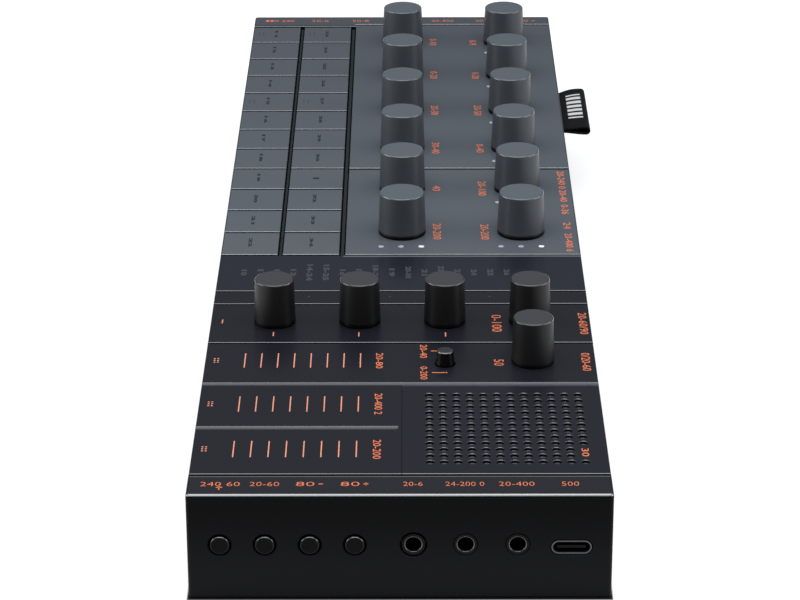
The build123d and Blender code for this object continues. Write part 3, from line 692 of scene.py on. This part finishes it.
def copied(model, x, y):
    """A copy of a finished part with its own mesh, set down at x, y in mm."""
    again = model.copy()
    again.data = model.data.copy()
    scene.collection.objects.link(again)
    again.data.transform(Matrix.Translation((x * mm, y * mm, 0)))
    return again


model = collar(track_collar_radius)
for number in range(12):
    name = f"track_knob_{number + 1:02d}"
    dress(name, knob_plastic)
    ring = copied(model, track_columns[number // 6], track_rows[number % 6])
    one_piece(f"{name}_collar", [ring], shadow_collar_black, name)
bpy.data.objects.remove(model)


# --- Level lamps ----------------------------------------------------------------------
# Three small clear lenses in front of each track knob, pressed into the panel from below and hardly proud
# of it. The right one is lit white, and the other two glow dimly in lavender grey.
def lamp_finish(name, colour, strength):
    """Clear acrylic over a light-emitting chip, its glow clouded a little."""
    finish = Finish(name)
    at = finish.node("ShaderNodeTexCoord", out="Object")
    haze = finish.noise(at, 1500.0, 2.0)
    glow = finish.blend(haze, scaled(colour, 0.85), scaled(colour, 1.15))
    return finish.done(
        {
            "Base Color": glow,
            "Roughness": haze * 0.2 + 0.3,
            "Specular IOR Level": 0.3,
            "Emission Color": glow,
            "Emission Strength": strength,
        }
    )


lens_radius = 0.78 * mm
lens_depth = 0.5 * mm
bpy.ops.object.select_all(action="DESELECT")
bpy.ops.mesh.primitive_cylinder_add(
    vertices=20, radius=lens_radius, depth=lens_depth, location=(0, 0, panel_top - 0.2 * mm)
)
model = bpy.context.object
bpy.ops.object.transform_apply(location=True, rotation=True, scale=True)
domed = model.modifiers.new("soft_rim", "BEVEL")
domed.width = 0.04 * mm
domed.segments = 2
domed.limit_method = "ANGLE"
bpy.ops.object.modifier_apply(modifier=domed.name)
bpy.ops.object.shade_smooth_by_angle(angle=math.radians(40))
lamp_drop = -10.33
dim_offsets = (-5.7, -0.3)
lit_offset = 5.2
dim_lamp = lamp_finish("dim_lamp", shade(166, 170, 182), 0.09)
lit_lamp = lamp_finish("lit_lamp", shade(228, 232, 242), 0.16)
for number in range(12):
    x = track_columns[number // 6]
    y = track_rows[number % 6] + lamp_drop
    pair = [copied(model, x + offset, y) for offset in dim_offsets]
    one_piece(f"track_{number + 1:02d}_dim_lamps", pair, dim_lamp)
    one_piece(f"track_{number + 1:02d}_lit_lamp", [copied(model, x + lit_offset, y)], lit_lamp)
bpy.data.objects.remove(model)


# --- Display window -------------------------------------------------------------------
# A dark smoked acrylic window across the case, let in flush with the plates before and behind it. Small
# grey legends are printed on it in one row and show faintly.
window_far_edge = -31.91 * mm


def window_zones(finish):
    """Painted shade in the gaps and on the far lip, and a painted highlight line before it along the grey
    panel.
    """
    upper = finish.ease(facing(finish, "Z"), 0.5, 0.6)
    before = window_far_edge - place(finish, "Y")
    # Painted highlight: a light line on the flat before the far lip, along the grey panel.
    painted_light_line = finish.ease(before, 1.21 * mm, 1.13 * mm) * upper
    painted_light_line = painted_light_line * finish.ease(place(finish, "X"), -15.8 * mm, -15.0 * mm)
    # Painted shade: the far lip is painted near black.
    lip = finish.ease(before, 0.43 * mm, 0.35 * mm) * upper
    return (*gap_zones(finish), (painted_light_line, shade(102, 104, 110)), (lip, shade(8, 8, 10)))


window_acrylic = moulded(
    "window_acrylic", shade(29, 32, 41), 0.22, grain=2.0, depth=0.001, specular=0.3, polish=1.0, gloss=2.2,
    edges=near_edges, zones=window_zones,
)
dress("display_window", window_acrylic)
legend_ink = ink("legend_ink", shade(68, 70, 76), 0.3, 0.3)
legend_reaches = (4.0, 4.4, 4.2, 4.6, 11.0, 10.6, 4.0, 4.4, 9.6, 5.4, 8.0, 4.4, 8.6, 4.4, 4.2, 4.6, 4.0)
first_legend_x = -41.5
legend_y = -43.8
legend_pitch = 4.35
parts = []
for number, reach in enumerate(legend_reaches):
    x = first_legend_x + legend_pitch * number
    written = f"{number + 10}" if reach < 6 else f"{number + 10}-{number + 20}"
    parts.append(figures(written, x, legend_y, reach, 1.6, side_turn, 0.05))
one_piece("display_legends", parts, legend_ink)


# --- Control panel --------------------------------------------------------------------
# The black plate under the sound knobs and the touch rows, satin with a fine grain. Orange lines mark
# the eight places along each touch row, and pale dots the four lamps of the narrow band.
touch_grooves = (-112.9 * mm, -137.1 * mm)


def in_groove(finish):
    """1 in the two finger grooves, and 0 on the rest of the plate."""
    low = finish.ease(facing(finish, "Z"), 0.998, 0.99)
    first, second = [finish.ease(abs(place(finish, "Y") - y), 1.02 * mm, 0.94 * mm) for y in touch_grooves]
    return (first + second) * low


def control_edges(finish):
    return near_edges(finish) * (1.0 - in_groove(finish) * 0.7)


def control_zones(finish):
    """Painted shade in the gaps, and finger grooves painted paler as a painted reflection."""
    # Painted reflection: the finger grooves are painted paler where their slopes catch the lamp.
    return gap_zones(finish) + ((in_groove(finish), shade(90, 91, 96)),)


control_plastic = moulded(
    "control_plastic", shade(27, 28, 35), 0.32, grain=0.2, depth=0.0015, specular=0.22, polish=1.0, gloss=2.2,
    edges=control_edges, zones=control_zones,
)
dress("control_panel", control_plastic)
tick_ink = ink("tick_ink", shade(240, 156, 130))
tick_width = 0.29
tick_length = 8.4
tick_pitch = 4.09
dots_x = -45.6
dots_across = 0.85
dots_along = 1.05
parts = []
for row_y, first_x in ((-99.2, -38.5), (-124.1, -38.65), (-148.3, -38.75)):
    for number in range(8):
        parts.append(stroke(first_x + tick_pitch * number, row_y, tick_width, tick_length))
    for column in (-0.5, 0.5):
        for step in (-1, 0, 1):
            parts.append(dot(dots_x + column * dots_across, row_y + 0.1 + step * dots_along, 0.26, 8))
for x, y in ((-32.1, -83.3), (-10.5, -83.6), (11.4, -83.7), (-45.4, -75.5)):
    parts.append(stroke(x, y, 0.31, 2.4))
one_piece("touch_row_lines", parts, tick_ink)
parts = []
for written, x, y, reach, tall in (
    ("20-80", -5.15, -99.4, 9.0, 1.8), ("20-400 2", -5.2, -124.1, 11.4, 1.9),
    ("20-200", -5.35, -148.5, 9.9, 1.9), ("0-100", 24.5, -76.8, 10.4, 2.6),
    ("20-60/90", 46.5, -77.0, 13.2, 2.2), ("50", 24.4, -100.6, 3.7, 2.5),
    ("0/20-60", 46.0, -100.2, 10.4, 2.2), ("20-40", 5.8, -93.9, 7.9, 1.8),
    ("0-200", 5.8, -106.6, 7.4, 1.8), ("30", 43.1, -150.2, 4.2, 1.7),
):
    parts.append(figures(written, x, y, reach, tall, side_turn, side_weight))
parts.append(stroke(8.4, -93.7, 1.5, 0.4))
parts.append(stroke(9.5, -106.4, 3.4, 0.4))
parts.append(dot(11.25, -106.4, 0.34))
one_piece("control_figures", parts, orange_ink)
band_y = -59.7
parts = [dot(x, band_y, 0.3, 10) for x in (-23.8, -2.75, 6.35, 23.2)]
one_piece("band_dots", parts, legend_ink)


# --- Sound and effects knobs ----------------------------------------------------------
# Five smaller knobs of the same make in near-black, four in one row and one for the effects, each over
# its own black collar, which stands in for the shadow under the knob. Their flat tops are painted paler as a
# painted highlight.
def dark_crown(finish):
    # Painted highlight on the flat top where the lamps fall on it, and painted shade on the foot.
    painted_lit_top = finish.ease(facing(finish, "Z"), 0.9, 0.995)
    return ((painted_lit_top, shade(61, 62, 65)), (skirt(finish), shade(4, 4, 5)))


dark_knob_plastic = moulded(
    "dark_knob_plastic", shade(23, 23, 24), 0.42, grain=0.2, depth=0.002, specular=0.35, polish=1.0,
    gloss=1.65, zones=dark_crown,
)
dark_collar_radius = 5.28
model = collar(dark_collar_radius)
for name, x, y in (
    ("sound_knob_1", -32.0, -75.3), ("sound_knob_2", -10.35, -75.3), ("sound_knob_3", 11.3, -75.3),
    ("sound_knob_4", 32.95, -75.3), ("effect_knob", 32.8, -99.5),
):
    dress(name, dark_knob_plastic)
    one_piece(f"{name}_collar", [copied(model, x, y)], shadow_collar_black, name)
bpy.data.objects.remove(model)


# --- Mode lever -----------------------------------------------------------------------
# A small lever of glossy black plastic that stands in a round hole of the control panel. It tips to the
# near and the far side on two trunnions that its switch on the board holds.
def lever_crown(finish):
    # Painted highlight: the lever's top is painted paler where the lamp falls on it.
    return ((finish.ease(facing(finish, "Z"), 0.8, 0.95), shade(50, 50, 52)),)


lever_plastic = moulded(
    "lever_plastic", shade(9, 9, 10), 0.26, grain=0.9, depth=0.02, specular=0.25, polish=1.0, gloss=2.3,
    haze=0.1, zones=lever_crown,
)
dress("mode_lever", lever_plastic)


# --- Speaker grille -------------------------------------------------------------------
# A black plate with a field of drilled and countersunk holes, their walls painted black as painted shade. A
# grey dust screen is stuck behind it and shows at the bottom of every hole.
def grille_zones(finish):
    # Painted shade: the hole walls below the countersink are painted near black.
    deep = finish.ease(place(finish, "Z"), panel_top - 0.08 * mm, panel_top - 0.14 * mm)
    wall = finish.ease(facing(finish, "Z"), 0.4, 0.2) * deep
    return gap_zones(finish) + ((wall, shade(2, 2, 3)),)


grille_plastic = moulded(
    "grille_plastic", shade(27, 29, 36), 0.34, grain=0.2, specular=0.22, polish=1.0, gloss=2.3,
    edges=near_edges, zones=grille_zones,
)
dress("speaker_grille", grille_plastic)
grille_centre = (24.95, -137.1)
holes_a_side = 12
hole_pitch = 3.266
closed_rows = (1, 2)
screen_radius = 0.94
screen_depth = 0.7 * mm


def screen_disc(radius):
    bpy.ops.object.select_all(action="DESELECT")
    bpy.ops.mesh.primitive_circle_add(
        vertices=14, radius=radius * mm, fill_type="NGON", location=(0, 0, panel_top - screen_depth)
    )
    return thickened(bpy.context.object, -0.1 * mm)


model = screen_disc(screen_radius)
parts = []
# Two places of the last column are closed and set the microphone's hole at its near end apart.
for column in range(holes_a_side):
    for row in range(holes_a_side):
        if column < holes_a_side - 1 or row not in closed_rows:
            x = grille_centre[0] + (column - (holes_a_side - 1) / 2) * hole_pitch
            y = grille_centre[1] + (row - (holes_a_side - 1) / 2) * hole_pitch
            parts.append(copied(model, x, y))
bpy.data.objects.remove(model)
screen_cloth = moulded("screen_cloth", shade(84, 87, 94), 0.8, grain=0.12, depth=0.02, specular=0.2)
one_piece("dust_screen", parts, screen_cloth)


# --- Near end: buttons and sockets ----------------------------------------------------
# Four round push buttons, three jack sockets in glossy black nylon and one steel-shelled USB socket look
# out of the near wall.
def front_edges(finish):
    """The rounding round a front face, polished mostly where it looks upwards."""
    return rounded_edges(finish, "Y") * (finish.ease(facing(finish, "Z"), 0.2, 0.5) * 0.9 + 0.1)


button_plastic = moulded(
    "button_plastic", shade(15, 15, 15), 0.4, specular=0.05, polish=1.0, gloss=2.5, edges=front_edges
)
for number in range(1, 5):
    dress(f"end_button_{number}", button_plastic)
dress("button_strips", button_plastic)


usb_x = 39.1 * mm
usb_z = 13.1 * mm


def socket_finish():
    """Black nylon jacks and a steel USB shell with a black tongue, set apart by where they are."""
    finish = Finish("socket_nylon")
    at = finish.node("ShaderNodeTexCoord", out="Object")
    fine = finish.noise(at, 4000.0, 2.0)
    edge = rounded_edges(finish, "Y")
    tongue = finish.ease(abs(place(finish, "Z") - usb_z), 0.75 * mm, 0.6 * mm)
    tongue = tongue * finish.ease(abs(place(finish, "X") - usb_x), 3.6 * mm, 3.4 * mm)
    shell = finish.ease(place(finish, "X"), usb_x - 6.6 * mm, usb_x - 5.6 * mm) * (1.0 - tongue)
    return finish.done(
        {
            "Base Color": finish.blend(shell, shade(7, 7, 8), shade(80, 80, 84)),
            "Metallic": shell * 0.9,
            "Roughness": 0.3 + (fine - 0.5) * 0.1,
            "Specular IOR Level": 0.1,
            "Coat Weight": edge * (1.0 - shell * 0.8),
            "Coat Roughness": 0.15,
            "Coat IOR": 2.0,
            "Normal": finish.bump(0.3, 0.003 * mm, fine),
        }
    )


dress("sockets", socket_finish())
near_print_y = -166.1
parts = []
for written, x, across in (
    ("240 60", -40.85, 9.0), ("20-60", -30.76, 6.7), ("80", -21.48, 4.2), ("80", -11.26, 4.3),
    ("20-6", 3.0, 4.4), ("24-200 0", 14.8, 8.85), ("20-400", 26.6, 8.1), ("500", 38.8, 3.95),
):
    parts.append(figures(written, x, near_print_y, across, 2.05))
parts.append(stroke(-17.95, near_print_y, 1.0, 0.36))
parts.append(stroke(-7.7, near_print_y, 1.1, 0.4))
parts.append(stroke(-7.7, near_print_y, 0.28, 1.3))
parts.append(stroke(-41.0, -167.6, 0.24, 2.9))
parts.append(stroke(-41.0, -167.7, 1.5, 0.36))
one_piece("near_strip_figures", parts, orange_ink)


# --- Woven tag ------------------------------------------------------------------------
# A black polyester ribbon folded into a loop, its two ends pinched in a slit in the case's right wall. A
# row of white bars is woven into its upper side.
tag_width = 34.6 * mm
wall_x = case_half_width
tail_x = 46.9 * mm
belly_x = 55.85 * mm
root_rise = 0.43 * mm
belly_rise = 1.02 * mm
cloth_gauge = 0.45 * mm
tag_z = 22.0 * mm
tag_y = 93.0 * mm
pinch = 3.2 * mm
pinch_reach = 5.5 * mm
ripple_height = 0.06 * mm
fray_depth = 0.12 * mm


def loop_point(share):
    """The ribbon's middle line from its lower end, out round the fold and back, as x and z."""
    lengths = (wall_x - tail_x, belly_x - wall_x, math.pi * belly_rise, belly_x - wall_x)
    total = sum(lengths) + lengths[0]
    run = share * total
    if run < lengths[0]:
        return tail_x + run, tag_z - root_rise
    run -= lengths[0]
    if run < lengths[1]:
        way = run / lengths[1]
        return wall_x + run, tag_z - root_rise - (belly_rise - root_rise) * way * way * (3 - 2 * way)
    run -= lengths[1]
    if run < lengths[2]:
        angle = run / belly_rise - math.pi / 2
        return belly_x + belly_rise * math.cos(angle), tag_z + belly_rise * math.sin(angle)
    run -= lengths[2]
    if run < lengths[3]:
        way = 1 - run / lengths[3]
        return belly_x - run, tag_z + root_rise + (belly_rise - root_rise) * way * way * (3 - 2 * way)
    run -= lengths[3]
    return wall_x - run, tag_z + root_rise


bpy.ops.object.select_all(action="DESELECT")
bpy.ops.mesh.primitive_grid_add(x_subdivisions=72, y_subdivisions=60, size=1.0)
tag = bpy.context.object
for vertex in tag.data.vertices:
    share = vertex.co.x + 0.5
    across = vertex.co.y
    x, z = loop_point(share)
    ripple = ripple_height * math.sin(across * 17.0 + share * 5.0) * math.sin(share * math.pi) ** 2
    out = min(1.0, max(0.0, (x - wall_x) / pinch_reach))
    gathered = pinch * max(0.0, across + 0.1) * (1 - out) ** 2 / 0.6
    frayed = fray_depth * math.sin(share * 190.0) * (0.5 - across) ** 12
    vertex.co = Vector((x, tag_y + across * tag_width - gathered + frayed, z + ripple))
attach(tag, "case")
tag.name = "woven_tag_ribbon"


def woven_finish():
    """Fine twill of black yarn, and white yarn brought up in a row of bars."""
    finish = Finish("woven_ribbon")
    at = finish.node("ShaderNodeTexCoord", out="UV")
    u = finish.node("ShaderNodeSeparateXYZ", {}, {0: at}, "X")
    v = finish.node("ShaderNodeSeparateXYZ", {}, {0: at}, "Y")
    warp = finish.node("ShaderNodeMath", {"operation": "SINE"}, {0: u * 600.0 + v * 260.0})
    weft = finish.node("ShaderNodeMath", {"operation": "SINE"}, {0: v * 900.0 - u * 120.0})
    yarn = warp * 0.25 + weft * 0.25 + 0.5
    swing = finish.node("ShaderNodeMath", {"operation": "PINGPONG"}, {0: v, 1: 0.05})
    bars = swing.work("GREATER_THAN", swing, 0.0205)
    across = finish.ease(u, 0.595, 0.605) * finish.ease(u, 0.815, 0.805)
    along = finish.ease(v, 0.245, 0.25) * finish.ease(v, 0.855, 0.85)
    white = bars * across * along * (yarn * 0.3 + 0.7)
    cloth = finish.blend(yarn, shade(9, 9, 9), shade(34, 34, 34))
    cloth = finish.blend(white, cloth, shade(236, 236, 234))
    return finish.done(
        {
            "Base Color": cloth,
            "Roughness": 0.9 - yarn * 0.1,
            "Specular IOR Level": 0.12,
            "Normal": finish.bump(0.6, 0.05 * mm, yarn),
        }
    )


tag.data.materials.append(woven_finish())
thick = tag.modifiers.new("cloth_gauge", "SOLIDIFY")
thick.thickness = cloth_gauge
thick.offset = 0.0
bpy.context.view_layer.objects.active = tag
bpy.ops.object.modifier_apply(modifier=thick.name)
bpy.ops.object.mode_set(mode="EDIT")
bpy.ops.mesh.select_all(action="SELECT")
bpy.ops.mesh.normals_make_consistent(inside=False)
bpy.ops.object.mode_set(mode="OBJECT")
bpy.ops.object.shade_smooth_by_angle(angle=math.radians(50))
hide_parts("woven_tag")
